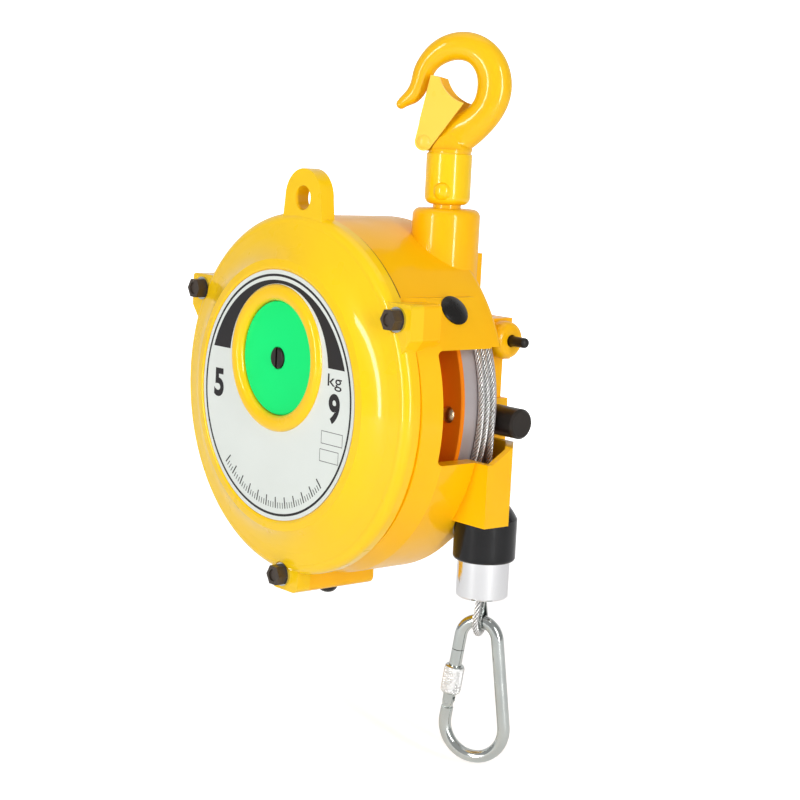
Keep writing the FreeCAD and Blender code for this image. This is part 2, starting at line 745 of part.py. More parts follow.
def rope_windings():
    """Turns of rope side by side on the drum; the last one stops where the rope hangs free."""
    solids = []
    for i in range(rope_turns):
        y = rope_y - i * turn_pitch
        circle = Part.Wire(Part.Circle(V(winding_r, y, 0), Y_AXIS.cross(X_AXIS), rope_d / 2).toShape())
        if i == 0:
            solids.append(Part.Face(circle).revolve(V(0, y, 0), Y_AXIS * -1, 320))
        else:
            solids.append(Part.makeTorus(winding_r, rope_d / 2, V(0, y, 0), Y_AXIS))
    return group(solids)


def shaft_collar():
    """Ring that keeps the drum on the shaft, between the hub and the worm wheel."""
    return tube(shaft_r + 3, shaft_r + fit, 2.2, V(0, drum_back + gap, 0), Y_AXIS)


# ---------------------------------------------------------------- load adjuster
def worm_wheel():
    y0 = wheel_y - wheel_t / 2
    blank = tube(wheel_r, shaft_r + fit, wheel_t, V(0, y0, 0), Y_AXIS)
    width = math.pi * wheel_r / wheel_teeth
    notches = []
    for i in range(wheel_teeth):
        notch = block(wheel_r - tooth_depth, wheel_r + 1, y0 - 1, y0 + wheel_t + 1,
                      -width / 2, width / 2)
        notch.rotate(ZERO, Y_AXIS, i * 360 / wheel_teeth)
        notches.append(notch)
    return blank.cut(notches)


def worm():
    """Worm shaft across the back, with its square end outside the case."""
    radius = worm_z - wheel_r - gap
    crest = 1.6
    points = [(0, -worm_len / 2)]
    turns = int(worm_len / (2 * crest))
    for i in range(turns):
        x = -worm_len / 2 + 2 * crest * i
        points += [(radius, x + 0.3), (radius, x + crest - 0.3), (radius - 1.6, x + crest),
                   (radius - 1.6, x + 2 * crest)]
    points += [(0, points[-1][1])]
    thread = turned_x(points, wheel_y, worm_z)
    start = -worm_len / 2 - worm_rib_gap - worm_rib_t + 1
    shaft = rod(worm_shaft_r, worm_boss_x + 1 - start, V(start, wheel_y, worm_z), X_AXIS)
    neck_len = worm_neck_len + worm_tip_hold
    neck = rod(worm_tip_r - 0.7, neck_len, V(worm_boss_x + 1, wheel_y, worm_z), X_AXIS)
    return join([thread, shaft, neck])


def worm_tip():
    x0 = worm_boss_x + 1 + worm_neck_len
    body = turned_x([(0, x0), (worm_tip_r - 0.8, x0), (worm_tip_r, x0 + 0.8),
                     (worm_tip_r, x0 + worm_tip_len - 2),
                     ((worm_tip_r - 0.7, x0 + worm_tip_len - 0.5), (0.8, x0 + worm_tip_len)),
                     (0, x0 + worm_tip_len)],
                    wheel_y, worm_z)
    return body.cut(rod(worm_tip_r - 0.7, worm_tip_hold, V(x0, wheel_y, worm_z), X_AXIS))


def worm_bush():
    x0 = recess_x - case_wall - 6
    return tube(worm_shaft_r + worm_bush_wall, worm_shaft_r + fit, worm_boss_x - x0,
                V(x0, wheel_y, worm_z), X_AXIS)


# ---------------------------------------------------------------- drum lock
def lock_knob_x():
    return recess_x + lock_travel + gap


def lock_pin():
    tip_x = catch_r + 0.8
    end_x = lock_knob_x() + lock_knob_len - lock_knob_cap + 6
    return rod(lock_pin_r, end_x - tip_x, V(tip_x, lock_y, lock_z), X_AXIS)


def lock_knob():
    """Push knob: a cup over the nose of the case, fixed on the end of the pin."""
    x0 = lock_knob_x()
    x1 = x0 + lock_knob_len
    floor = x1 - lock_knob_cap
    bore = lock_nose_r + gap
    cup = turned_x([(bore, x0), (lock_knob_r - 0.6, x0), (lock_knob_r, x0 + 0.8),
                    (lock_knob_r, x1 - 1.2), (lock_knob_r - 1.2, x1), (0, x1), (0, floor),
                    (bore, floor)], lock_y, lock_z)
    return cup.cut(rod(lock_pin_r, 6, V(floor, lock_y, lock_z), X_AXIS))


def lock_spring():
    """Compression spring around the pin, drawn as its coils."""
    first = lock_floor_x() + lock_wire_r + 0.1
    last = recess_x + lock_nose
    pitch = (last - first) / (lock_spring_coils - 1)
    return group([Part.makeTorus(lock_spring_r, lock_wire_r, V(first + i * pitch, lock_y, lock_z), X_AXIS)
                  for i in range(lock_spring_coils)])


# ---------------------------------------------------------------- swivel and hook
def swivel_stud():
    washer_top = post_top - post_web - gap
    low = washer_top - thrust_t - nut_t - 1.0
    return turned_z([(0, low), (stud_r - 1.5, low), (stud_r - 1.5, washer_top - thrust_t - nut_t),
                     (stud_r - 1.5, washer_top), (stud_r, washer_top),
                     (stud_r, socket_bottom), (spigot_r, socket_bottom),
                     (spigot_r, socket_bottom + socket_floor), (0, socket_bottom + socket_floor)],
                    post_x, post_y)


def thrust_washer():
    at = V(post_x, post_y, post_top - post_web - gap - thrust_t)
    return tube(thrust_r, stud_r - 1.5 + fit, thrust_t, at, Z_AXIS)


def swivel_nut():
    z0 = post_top - post_web - gap - thrust_t - nut_t
    nut = hexagon(nut_af, nut_t, V(post_x, post_y, z0), Z_AXIS)
    return nut.cut(rod(stud_r - 1.5 + 0.02, nut_t, V(post_x, post_y, z0), Z_AXIS))


def hook_axes():
    along = V(math.cos(math.radians(hook_turn)), math.sin(math.radians(hook_turn)), 0)
    return along, Z_AXIS.cross(along) * -1


def hook_point(u, z, n=0.0):
    """Point in the hook's plane: u from the ring centre, z above it, n out of the plane."""
    along, out = hook_axes()
    return V(post_x, post_y, hook_centre_z + z) + along * (u + hook_offset) + out * n


def hook_socket():
    shell = turned_z([(0, socket_bottom), (socket_r - 4, socket_bottom),
                      ((socket_r - 1.2, socket_bottom + 1.2), (socket_r, socket_bottom + 4)),
                      (socket_r, socket_top - 0.6), (socket_r - 0.6, socket_top), (0, socket_top)],
                     post_x, post_y)
    bore = rod(shank_r + fit, socket_h, V(post_x, post_y, socket_bottom + socket_floor), Z_AXIS)
    hole = rod(spigot_r + 0.02, socket_h, V(post_x, post_y, socket_bottom - 1), Z_AXIS)
    faces = [rod(rivet_head_r + 0.05, 3, rivet_seat(side), hook_axes()[1] * side) for side in (-1, 1)]
    return shell.cut([bore, hole, rivet_hole()] + faces)


def rivet_seat(side):
    """Centre of the spot face under a head of the socket rivet."""
    return V(post_x, post_y, socket_rivet_z) + hook_axes()[1] * side * (socket_r - 0.9)


def rivet_hole():
    out = hook_axes()[1]
    return rod(socket_rivet_r + 0.02, 4 * socket_r, V(post_x, post_y, socket_rivet_z) - out * 2 * socket_r,
               out)


def socket_rivet():
    return dome_rivet(socket_rivet_r, 2 * socket_r - 1.8, rivet_head_r, rivet_head_h, rivet_seat(-1),
                      hook_axes()[1])


def hook():
    """Forged hook: oval sections lofted along its curve, on a round shank."""
    along, out = hook_axes()
    base = -hook_offset
    foot = socket_top - hook_centre_z
    # centre (u, z), heading in degrees, width in the plane, depth across it
    stations = [(base, foot, 90, 22.6, 22.6), (base + 1.0, foot + 4.5, 82, 22.0, 19.0),
                (base + 4.4, foot + 9.5, 52, 20.0, 14.4), (8.5, -20.5, 40, 18.4, hook_depth + 1),
                (15.6, -11.8, 62, 17.6, hook_depth + 1), (18.2, -1.0, 88, 18.4, hook_depth + 1),
                (14.6, 11.2, 125, 17.2, hook_depth + 0.6), (5.6, 18.4, 160, 15.6, hook_depth),
                (-4.6, 19.0, 188, 14.4, hook_depth), (-14.4, 14.2, 220, 12.6, hook_depth - 1),
                (-20.6, 5.6, 250, 11.0, hook_depth - 2), (-23.2, -2.6, 240, 9.8, hook_depth - 3.4),
                (-27.6, -8.6, 226, 8.0, hook_depth - 5.2), (-32.2, -11.9, 212, 5.6, hook_depth - 7.5)]
    wires = []
    for u, z, heading, width, depth in stations:
        turn = math.radians(heading)
        tangent = along * math.cos(turn) + Z_AXIS * math.sin(turn)
        across = out.cross(tangent)
        rotation = FreeCAD.Rotation(across, out, tangent, "ZXY")
        wire = Part.Wire(Part.Ellipse(ZERO, width / 2, depth / 2 - 1e-3).toShape())
        wire.Placement = FreeCAD.Placement(hook_point(u, z), rotation)
        wires.append(wire)
    body = Part.makeLoft(wires, True, False)
    tip = Part.makeSphere(2.7, hook_point(*stations[-1][:2]))
    shank = rod(shank_r, socket_top + 1 - (socket_bottom + socket_floor + 0.2),
                V(post_x, post_y, socket_bottom + socket_floor + 0.2), Z_AXIS)
    ear_from = hook_point(latch_pin_u, latch_pin_z, -latch_ear_t / 2)
    ear = rod(latch_ear_r - 0.8, latch_ear_t, ear_from, out)
    root = rod(latch_ear_r, latch_ear_t, hook_point(latch_pin_u + 8, latch_pin_z, -latch_ear_t / 2), out)
    side = latch_width / 2 - latch_sheet - gap
    patch = [(-2 * socket_r, foot + 2), (2 * socket_r, foot + 2), (2 * socket_r, latch_pin_z + 16),
             (-2 * socket_r, latch_pin_z + 16)]
    flats = [Part.Face(outline(patch, lambda u, z: hook_point(u, z, way * side))).extrude(out * way * 20)
             for way in (-1, 1)]
    solid = join([body.cut(flats), tip, shank, ear, root])
    pin_hole = rod(latch_pin_r + fit, 40, hook_point(latch_pin_u, latch_pin_z, -20), out)
    return solid.cut([pin_hole, rivet_hole()])


def latch_rivet():
    out = hook_axes()[1]
    half = latch_width / 2 + 0.1
    return dome_rivet(latch_pin_r, 2 * half, 3.6, 1.4,
                      hook_point(latch_pin_u, latch_pin_z, -half), out)


def hook_latch():
    """Folded sheet latch: two cheeks beside the hook and a web that closes the mouth."""
    out = hook_axes()[1]
    half = latch_width / 2
    pin = (latch_pin_u, latch_pin_z)
    low_left, low_right = (pin[0] - 4.6, pin[1] + 1.6), (pin[0] + 3.6, pin[1] - 3.0)
    edge = [low_left, (-14.3, 3.6), (-9.4, 2.4), ((-4.6, -5.4), (4.2, -10.2)), low_right,
            ((pin[0] - 0.6, pin[1] - 4.7), low_left)]
    solids = []
    for low in (-half, half - latch_sheet):
        face = Part.Face(outline(edge, lambda u, z: hook_point(u, z, low)))
        solids.append(face.extrude(out * latch_sheet))
    strip = [(-19.4, -20.8), (-14.3, 3.6), (-13.1, 3.3), (-18.2, -21.2)]
    web = Part.Face(outline(strip, lambda u, z: hook_point(u, z, -half))).extrude(out * 2 * half)
    body = join(solids + [web])
    return body.cut(rod(latch_pin_r + fit, 3 * half, hook_point(*pin, -1.5 * half), out))


def latch_spring():
    """Torsion spring of the latch, drawn as its coils on both sides of the ear."""
    out = hook_axes()[1]
    wire = 0.5
    first = latch_ear_t / 2 + wire + 0.1
    last = latch_width / 2 - latch_sheet - wire - gap
    solids = []
    for side in (-1, 1):
        for i in range(3):
            at = hook_point(latch_pin_u, latch_pin_z, side * (first + i * (last - first) / 2))
            solids.append(Part.makeTorus(latch_pin_r + wire + 0.15, wire, at, out))
    return group(solids)


# ---------------------------------------------------------------- rope end and carabiner
def load_axes():
    along = V(math.cos(math.radians(load_turn)), math.sin(math.radians(load_turn)), 0)
    return along, Z_AXIS.cross(along) * -1


def load_point(u, z, n=0.0):
    along, out = load_axes()
    return V(rope_x, rope_y, z) + along * u + out * n


def guide_bush():
    z0 = guide_floor
    return turned_z([(rope_d / 2 + 0.5, guide_floor - guide_floor_t), (bush_r, guide_floor - guide_floor_t),
                     (bush_r, z0), (bush_flange_r, z0), (bush_flange_r, z0 + bush_flange_t),
                     (rope_d / 2 + 2.0, z0 + bush_flange_t),
                     ((rope_d / 2 + 0.9, z0 + 0.9), (rope_d / 2 + 0.5, z0))], rope_x, rope_y)


def rubber_bumper():
    bore = sleeve_neck_r
    middle = ((bumper_small_r + bumper_r) / 2 + 0.15, bumper_top - bumper_shoulder / 2 + 0.15)
    return turned_z([(rope_d / 2 + 0.6, bumper_top), (bumper_small_r, bumper_top),
                     (middle, (bumper_r, bumper_top - bumper_shoulder)),
                     (bumper_r, bumper_bottom + 2), ((bumper_r - 0.6, bumper_bottom + 0.6),
                                                     (bumper_r - 2, bumper_bottom)),
                     (bore, bumper_bottom), (bore, bumper_bottom + sleeve_neck),
                     (rope_d / 2 + 0.6, bumper_bottom + sleeve_neck)], rope_x, rope_y)


def stop_sleeve():
    top = bumper_bottom + sleeve_neck
    return turned_z([(rope_d / 2 + 0.4, top), (sleeve_neck_r, top), (sleeve_neck_r, bumper_bottom),
                     (sleeve_r, bumper_bottom), (sleeve_r, sleeve_bottom + sleeve_chamfer),
                     (sleeve_r - sleeve_chamfer, sleeve_bottom), (sleeve_mouth_r, sleeve_bottom),
                     (ferrule_r, sleeve_bottom + 4), (ferrule_r, ferrule_top),
                     (rope_d / 2 + 0.4, ferrule_top)], rope_x, rope_y)


def wire_z():
    """Height of the carabiner wire where it hangs in the eye."""
    return sleeve_bottom - 13.4


def eye_z():
    return wire_z() - eye_gap + thimble_r - wire_r


def ferrule():
    body = turned_z([(0, ferrule_top), (ferrule_r, ferrule_top), (ferrule_r, ferrule_top - ferrule_len + 2),
                     (ferrule_r - 1, ferrule_top - ferrule_len), (0, ferrule_top - ferrule_len)],
                    rope_x, rope_y)
    out = load_axes()[1]
    half = rope_d / 2 + 0.15
    bores = [rod(rope_d / 2, ferrule_len, load_point(0, ferrule_top - ferrule_len - 2, side * half), Z_AXIS)
             for side in (-1, 1)]
    return body.cut(bores)


def eye_rope():
    """Rope loop in a plane square to the load plane: two legs out of the ferrule round the thimble."""
    bend_r = thimble_r + thimble_t + rope_d / 2
    lean = math.radians(eye_lean)
    half = rope_d / 2 + 0.15
    side_n, side_z = bend_r * math.cos(lean), eye_z() + bend_r * math.sin(lean)
    knee_n = half + eye_knee_r * (1 - math.cos(lean))
    knee_z = side_z + (side_n - knee_n) / math.tan(lean)
    start_z = knee_z + eye_knee_r * math.sin(lean)
    mid = (half + eye_knee_r * (1 - math.cos(lean / 2)), start_z - eye_knee_r * math.sin(lean / 2))

    def leg(side):
        n_z = [(side * half, ferrule_top - 2), (side * half, start_z), (side * mid[0], mid[1]),
               (side * knee_n, knee_z), (side * side_n, side_z)]
        top, start, over, knee, low = [load_point(0, z, n) for n, z in n_z]
        return [Part.LineSegment(top, start).toShape(), Part.Arc(start, over, knee).toShape(),
                Part.LineSegment(knee, low).toShape()]

    bow_edge = Part.Arc(load_point(0, side_z, -side_n), load_point(0, eye_z() - bend_r, 0),
                        load_point(0, side_z, side_n)).toShape()
    path = Part.Wire(Part.__sortEdges__(leg(-1) + [bow_edge] + leg(1)))
    start = load_point(0, ferrule_top - 2, -half)
    profile = Part.Wire(Part.Circle(start, Z_AXIS, rope_d / 2).toShape())
    return path.makePipeShell([profile], True, False)


def thimble():
    """Pear shaped band between the rope eye and the carabiner wire."""
    along, out = load_axes()
    lean = math.radians(eye_lean)
    centre_z = eye_z()

    def pear(radius):
        side_n, side_z = radius * math.cos(lean), centre_z + radius * math.sin(lean)
        tip_z = centre_z + radius / math.sin(lean)
        points = [(0, tip_z), (side_n, side_z), ((0, centre_z - radius), (-side_n, side_z))]
        face = Part.Face(outline(points, lambda n, z: load_point(-thimble_w / 2, z, n)))
        return face.extrude(along * thimble_w)

    return pear(thimble_r + thimble_t - 0.05).cut(pear(thimble_r))


def rope_run():
    """Free rope between the drum and the ferrule, at its shortest."""
    return rod(rope_d / 2, -ferrule_top, V(rope_x, rope_y, ferrule_top), Z_AXIS)


def bow(centre_z, radius, start, sweep, wire=None):
    """Bent wire in the load plane: angles in degrees from +u towards +z."""
    along, out = load_axes()
    a = math.radians(start)
    at = load_point(radius * math.cos(a), centre_z + radius * math.sin(a))
    heading = along * -math.sin(a) + Z_AXIS * math.cos(a)
    circle = Part.Wire(Part.Circle(at, heading, wire or wire_r).toShape())
    return Part.Face(circle).revolve(load_point(0, centre_z), out, sweep)


def carabiner_frame():
    """Centre heights of both bows, lean of the sides and the start and direction of the gate side."""
    top_z = wire_z() - carabiner_top_r
    low_z = top_z - carabiner_span
    lean = math.asin((carabiner_low_r - carabiner_top_r) / carabiner_span)
    along = load_axes()[0]
    start = load_point(-carabiner_top_r * math.cos(lean), top_z + carabiner_top_r * math.sin(lean))
    down = along * -math.sin(lean) - Z_AXIS * math.cos(lean)
    length = carabiner_span * math.cos(lean)
    return top_z, low_z, lean, start, down, length


def gate_point(s, n=0.0, inward=0.0):
    top_z, low_z, lean, start, down, length = carabiner_frame()
    along, out = load_axes()
    across = along * math.cos(lean) - Z_AXIS * math.sin(lean)
    return start + down * s + out * n + across * inward


def gate_disc(s, radius, thick):
    out = load_axes()[1]
    return rod(radius, thick, gate_point(s, -thick / 2), out)


def slab(s0, s1, half_width, thick):
    """Flat piece in the load plane along the gate side."""
    points = [gate_point(s0, -thick / 2, -half_width), gate_point(s1, -thick / 2, -half_width),
              gate_point(s1, -thick / 2, half_width), gate_point(s0, -thick / 2, half_width)]
    face = Part.Face(Part.makePolygon(points + points[:1]))
    return face.extrude(load_axes()[1] * thick)


def carabiner_body():
    top_z, low_z, lean, start, down, length = carabiner_frame()
    tilt = math.degrees(lean)
    nose = rod(wire_r, nose_end, start, down)
    top = bow(top_z, carabiner_top_r, tilt, 180 - 2 * tilt)
    low = bow(low_z, carabiner_low_r, 180 - tilt, 180 + 2 * tilt)
    side_u, side_z = carabiner_top_r * math.cos(lean), top_z + carabiner_top_r * math.sin(lean)
    spine_from = load_point(side_u, side_z)
    spine_to = load_point(carabiner_low_r * math.cos(lean), low_z + carabiner_low_r * math.sin(lean))
    spine = rod(wire_r, length, spine_from, (spine_to - spine_from).normalize())
    full_from = gate_pin_s + gate_cheek_r + 0.6
    leg = rod(wire_r, length - full_from, gate_point(full_from), down)
    tongue = slab(gate_pin_s, full_from + 0.5, gate_cheek_r, tongue_t)
    round_end = gate_disc(gate_pin_s, gate_cheek_r, tongue_t)
    body = join([nose, top, spine, low, leg, tongue, round_end])
    return body.cut(gate_disc(gate_pin_s, gate_pin_r + fit, 4 * wire_r))


def carabiner_gate():
    slot_t = tongue_t + 2 * gap
    solid_to = gate_pin_s - gate_cheek_r - 0.8
    down = carabiner_frame()[4]
    bar = rod(wire_r, gate_pin_s - nose_end - 0.4, gate_point(nose_end + 0.4), down)
    ends = rod(wire_r, 2 * gate_cheek_r, gate_point(gate_pin_s - gate_cheek_r), down).common(
        gate_disc(gate_pin_s, gate_cheek_r, 4 * wire_r))
    slot = slab(solid_to, gate_pin_s + 2 * gate_cheek_r, 2 * wire_r, slot_t)
    body = bar.fuse(ends).removeSplitter().cut(slot)
    return body.cut(gate_disc(gate_pin_s, gate_pin_r + fit, 4 * wire_r))


def gate_pin():
    return gate_disc(gate_pin_s, gate_pin_r, 2 * wire_r - 0.4)


def screw_sleeve():
    down = carabiner_frame()[4]
    at = gate_point(screw_start)
    shell = rod(screw_r, screw_len, at, down)
    rim = [edge for edge in shell.Edges if edge.Length > screw_r and len(edge.Vertexes) == 1]
    bore = rod(wire_r + fit, screw_len + 2, gate_point(screw_start - 1), down)
    return shell.makeChamfer(0.6, rim).cut(bore)


# ---------------------------------------------------------------- every node by name
PARTS = {
    "main_case": main_case, "front_cover": front_cover, "name_plate": name_plate,
    "cover_bolts": cover_bolts, "cover_washers": cover_washers, "side_plug": side_plug,
    "foot_plug": foot_plug, "rear_cap": rear_cap, "rear_cap_screws": cap_screws_group,
    "guide_bush": guide_bush, "rear_bush": rear_bush, "main_shaft": main_shaft, "spring_arbor": spring_arbor,
    "worm_bush": worm_bush, "shaft_collar": shaft_collar, "lock_spring": lock_spring,
    "load_dial": load_dial, "dial_screw": dial_screw, "worm_wheel": worm_wheel, "worm": worm,
    "worm_tip": worm_tip, "lock_pin": lock_pin, "lock_knob": lock_knob,
    "drum": drum, "spring_case": spring_case, "flange_rivets": flange_rivets,
    "hub_bush": hub_bushes, "mainspring": mainspring, "rope_windings": rope_windings,
    "hook": hook, "hook_socket": hook_socket, "socket_rivet": socket_rivet,
    "swivel_stud": swivel_stud, "swivel_nut": swivel_nut, "thrust_washer": thrust_washer,
    "latch_rivet": latch_rivet, "latch_spring": latch_spring, "hook_latch": hook_latch,
    "rope_run": rope_run, "rubber_bumper": rubber_bumper, "stop_sleeve": stop_sleeve,
    "rope_ferrule": ferrule, "rope_eye": eye_rope, "rope_thimble": thimble,
    "carabiner_body": carabiner_body, "carabiner_gate": carabiner_gate, "gate_pin": gate_pin,
    "screw_sleeve": screw_sleeve,
}


def main():
    os.makedirs("parts", exist_ok=True)
    for name, build in PARTS.items():
        shape = build()
        shape.translate(ORIGIN * -1)
        shape.exportStep("parts/" + name + ".step")


main()
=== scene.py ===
"""Spring balancer: looks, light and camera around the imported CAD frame.  Metres."""

import math

import bmesh
import bpy
from mathutils import Matrix, Vector


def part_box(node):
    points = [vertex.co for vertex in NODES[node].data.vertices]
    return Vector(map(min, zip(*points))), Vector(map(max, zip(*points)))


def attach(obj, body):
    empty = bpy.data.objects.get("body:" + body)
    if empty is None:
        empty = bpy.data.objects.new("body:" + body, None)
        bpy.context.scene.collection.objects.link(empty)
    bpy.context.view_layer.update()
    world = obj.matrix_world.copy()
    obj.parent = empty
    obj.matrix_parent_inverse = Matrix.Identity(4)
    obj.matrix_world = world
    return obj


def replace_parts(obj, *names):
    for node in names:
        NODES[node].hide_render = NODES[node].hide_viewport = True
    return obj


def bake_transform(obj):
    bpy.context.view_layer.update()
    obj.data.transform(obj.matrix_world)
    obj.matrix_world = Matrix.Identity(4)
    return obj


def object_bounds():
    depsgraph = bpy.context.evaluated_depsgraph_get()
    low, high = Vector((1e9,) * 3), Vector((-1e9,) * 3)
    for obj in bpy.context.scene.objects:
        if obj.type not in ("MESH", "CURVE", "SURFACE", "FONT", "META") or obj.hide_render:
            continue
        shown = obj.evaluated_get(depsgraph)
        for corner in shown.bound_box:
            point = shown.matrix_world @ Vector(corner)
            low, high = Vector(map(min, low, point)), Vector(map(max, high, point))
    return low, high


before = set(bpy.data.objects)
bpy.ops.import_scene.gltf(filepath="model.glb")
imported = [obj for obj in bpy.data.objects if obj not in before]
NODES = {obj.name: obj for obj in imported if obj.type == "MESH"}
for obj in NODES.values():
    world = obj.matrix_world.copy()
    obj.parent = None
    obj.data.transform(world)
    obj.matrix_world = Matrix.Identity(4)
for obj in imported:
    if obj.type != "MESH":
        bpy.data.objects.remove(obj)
cad_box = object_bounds()

V = Vector
MM = 0.001
DRUM = V((-46.0, -74.0, -179.5)) * MM          # drum axis at the face of the name plate
ROPE = V((89.8, 74.0, 0.0)) * MM + DRUM        # where the rope leaves the drum
ROPE_D = 3.6 * MM


def spot(x, y, z):
    """Point given in millimetres from the middle of the name plate's face."""
    return DRUM + V((x, y, z)) * MM


# ---------------------------------------------------------------- materials
def math_node(tree, operation, *values):
    node = tree.nodes.new("ShaderNodeMath")
    node.operation = operation
    for socket, value in zip(node.inputs, values):
        if isinstance(value, bpy.types.NodeSocket):
            tree.links.new(value, socket)
        else:
            socket.default_value = value
    return node.outputs[0]


class Nodes:
    """Small helper around one material's node tree."""

    def __init__(self, name):
        self.material = bpy.data.materials.new(name)
        self.material.use_nodes = True
        self.tree = self.material.node_tree
        self.shader = self.tree.nodes["Principled BSDF"]
        self.place = self.add("ShaderNodeTexCoord").outputs["Object"]

    def add(self, kind, **values):
        node = self.tree.nodes.new(kind)
        for key, value in values.items():
            if hasattr(node, key):
                setattr(node, key, value)
            else:
                node.inputs[key].default_value = value
        return node

    def link(self, out, socket):
        self.tree.links.new(out, socket)

    def noise(self, scale, detail=2.0, rough=0.5, place=None):
        node = self.add("ShaderNodeTexNoise", Scale=scale, Detail=detail, Roughness=rough)
        self.link(place or self.place, node.inputs["Vector"])
        return node.outputs["Fac"]

    def ramp(self, fac, low, high, a, b):
        node = self.add("ShaderNodeMapRange")
        node.inputs["From Min"].default_value = a
        node.inputs["From Max"].default_value = b
        node.inputs["To Min"].default_value = low
        node.inputs["To Max"].default_value = high
        self.link(fac, node.inputs["Value"])
        return node.outputs["Result"]

    def mix(self, fac, a, b):
        node = self.add("ShaderNodeMix", data_type="RGBA")
        self.link(fac, node.inputs["Factor"])
        for socket, value in ((node.inputs["A"], a), (node.inputs["B"], b)):
            if isinstance(value, tuple):
                socket.default_value = (*value, 1.0)
            else:
                self.link(value, socket)
        return node.outputs["Result"]

    def maths(self, operation, *values):
        """One Math node; each value is a socket or a number."""
        return math_node(self.tree, operation, *values)

    def bump(self, height, distance, strength=1.0, under=None):
        node = self.add("ShaderNodeBump", Distance=distance, Strength=strength)
        self.link(height, node.inputs["Height"])
        if under:
            self.link(under, node.inputs["Normal"])
        return node.outputs["Normal"]

    def set(self, **values):
        for key, value in values.items():
            socket = self.shader.inputs[key.replace("_", " ")]
            if isinstance(value, bpy.types.NodeSocket):
                self.link(value, socket)
            else:
                socket.default_value = value


def paint(name, colour, shade, rough=0.3, specular=0.12, coat=0.6, grain=0.00002):
    """Enamel over a casting: faint colour drift, orange peel and a gloss."""
    n = Nodes(name)
    drift = n.ramp(n.noise(9, 3), 0, 1, 0.35, 0.7)
    n.set(Base_Color=n.mix(drift, colour, shade),
          Roughness=n.ramp(n.noise(60, 2), rough - 0.04, rough + 0.07, 0.3, 0.7))
    peel = n.bump(n.noise(420, 2), grain, 0.4)
    n.set(Normal=n.bump(n.noise(38, 2), grain * 4, 0.4, peel), Specular_IOR_Level=specular,
          Coat_Weight=coat, Coat_Roughness=0.07)
    return n.material


def metal(name, colour, shade, rough=0.28, grain=0.00002, stretch=(1, 1, 1), scale=90, metallic=1.0):
    """Bare or plated metal with fine machining lines along the stretched direction."""
    n = Nodes(name)
    mapping = n.add("ShaderNodeMapping")
    mapping.inputs["Scale"].default_value = stretch
    n.link(n.place, mapping.inputs["Vector"])
    lines = n.noise(scale, 6, 0.6, mapping.outputs["Vector"])
    blotch = n.ramp(n.noise(35, 3), 0, 1, 0.3, 0.75)
    n.set(Base_Color=n.mix(blotch, colour, shade), Metallic=metallic,
          Roughness=n.ramp(lines, rough - 0.06, rough + 0.08, 0.3, 0.7), Normal=n.bump(lines, grain, 0.5))
    return n.material


def wire(name, crown, groove):
    """Rope wire: bright on the crowns of the strands, with shade painted dark into the grooves between them."""
    n = Nodes(name)
    depth = n.add("ShaderNodeAttribute", attribute_name="crown").outputs["Fac"]
    wires = n.noise(900, 2)
    bright = n.mix(wires, crown, tuple(c * 0.8 for c in crown))
    # Low crown share gives the near-black groove colour: painted shade between the strands.
    n.set(Base_Color=n.mix(n.ramp(depth, 0, 1, 0.25, 0.8), groove, bright),
          Metallic=0.75, Roughness=n.ramp(wires, 0.22, 0.38, 0.3, 0.7), Normal=n.bump(wires, 0.00002, 0.5))
    return n.material


def rubber(name, colour, rough=0.6, grain=0.00005, specular=0.5):
    n = Nodes(name)
    dust = n.ramp(n.noise(50, 4), 0, 1, 0.45, 0.8)
    pale = tuple(c * 1.6 + 0.003 for c in colour)
    n.set(Base_Color=n.mix(dust, colour, pale),
          Roughness=n.ramp(n.noise(240, 2), rough - 0.06, rough + 0.06, 0.3, 0.7),
          Normal=n.bump(n.noise(700, 2), grain, 0.4), Specular_IOR_Level=specular)
    return n.material


def print_stock(name, colour, shade, rough):
    n = Nodes(name)
    fade = n.ramp(n.noise(14, 4), 0, 1, 0.35, 0.75)
    n.set(Base_Color=n.mix(fade, colour, shade),
          Roughness=n.ramp(n.noise(120, 2), rough - 0.05, rough + 0.07, 0.3, 0.7),
          Normal=n.bump(n.noise(900, 1), 0.00001, 0.4), Specular_IOR_Level=0.3)
    return n.material


YELLOW = paint("enamel_cover", (0.97, 0.62, 0.005), (0.97, 0.57, 0.003))
# Darker copy of the yellow enamel for the hook: painted shade against the light of both strip lamps on it.
SHADED_HOOK_YELLOW = paint("enamel_hook_painted_shade", (0.92, 0.53, 0.003), (0.90, 0.47, 0.002), 0.3, 0.1, 0.6)
# Deeper orange copy of the yellow enamel: painted shade for the case's sides and top.
SHADED_CASE_YELLOW = paint("enamel_case_painted_shade", (0.99, 0.52, 0.001), (0.99, 0.47, 0.001), 0.34, 0.1, 0.4)
LATCH_YELLOW = paint("enamel_latch", (0.96, 0.66, 0.10), (0.96, 0.60, 0.06), 0.3, 0.2, 0.2)
ORANGE = paint("paint_orange", (0.95, 0.26, 0.003), (0.80, 0.20, 0.002), 0.4, 0.2, 0.0)
GREEN = paint("enamel_green", (0.004, 0.90, 0.215), (0.004, 0.84, 0.195), 0.4, 0.15, 0.0)
PLATE = print_stock("plate_white", (0.77, 0.81, 0.77), (0.73, 0.77, 0.73), 0.34)
INK = print_stock("plate_ink", (0.012, 0.010, 0.012), (0.022, 0.02, 0.02), 0.36)
GREY_INK = print_stock("plate_ink_thin", (0.10, 0.10, 0.10), (0.14, 0.14, 0.14), 0.4)
RUBBER = rubber("moulded_rubber", (0.004, 0.004, 0.005), 0.16, 0.000005, 0.35)
DULL_RUBBER = rubber("plug_rubber", (0.006, 0.005, 0.004), 0.3, 0.00003, 0.35)
BLACK = metal("black_oxide", (0.018, 0.015, 0.013), (0.032, 0.024, 0.019), 0.34, 0.00003, metallic=0.4)
BOLT = metal("phosphated_bolt", (0.050, 0.038, 0.030), (0.085, 0.062, 0.045), 0.36, 0.00003, metallic=0.4)
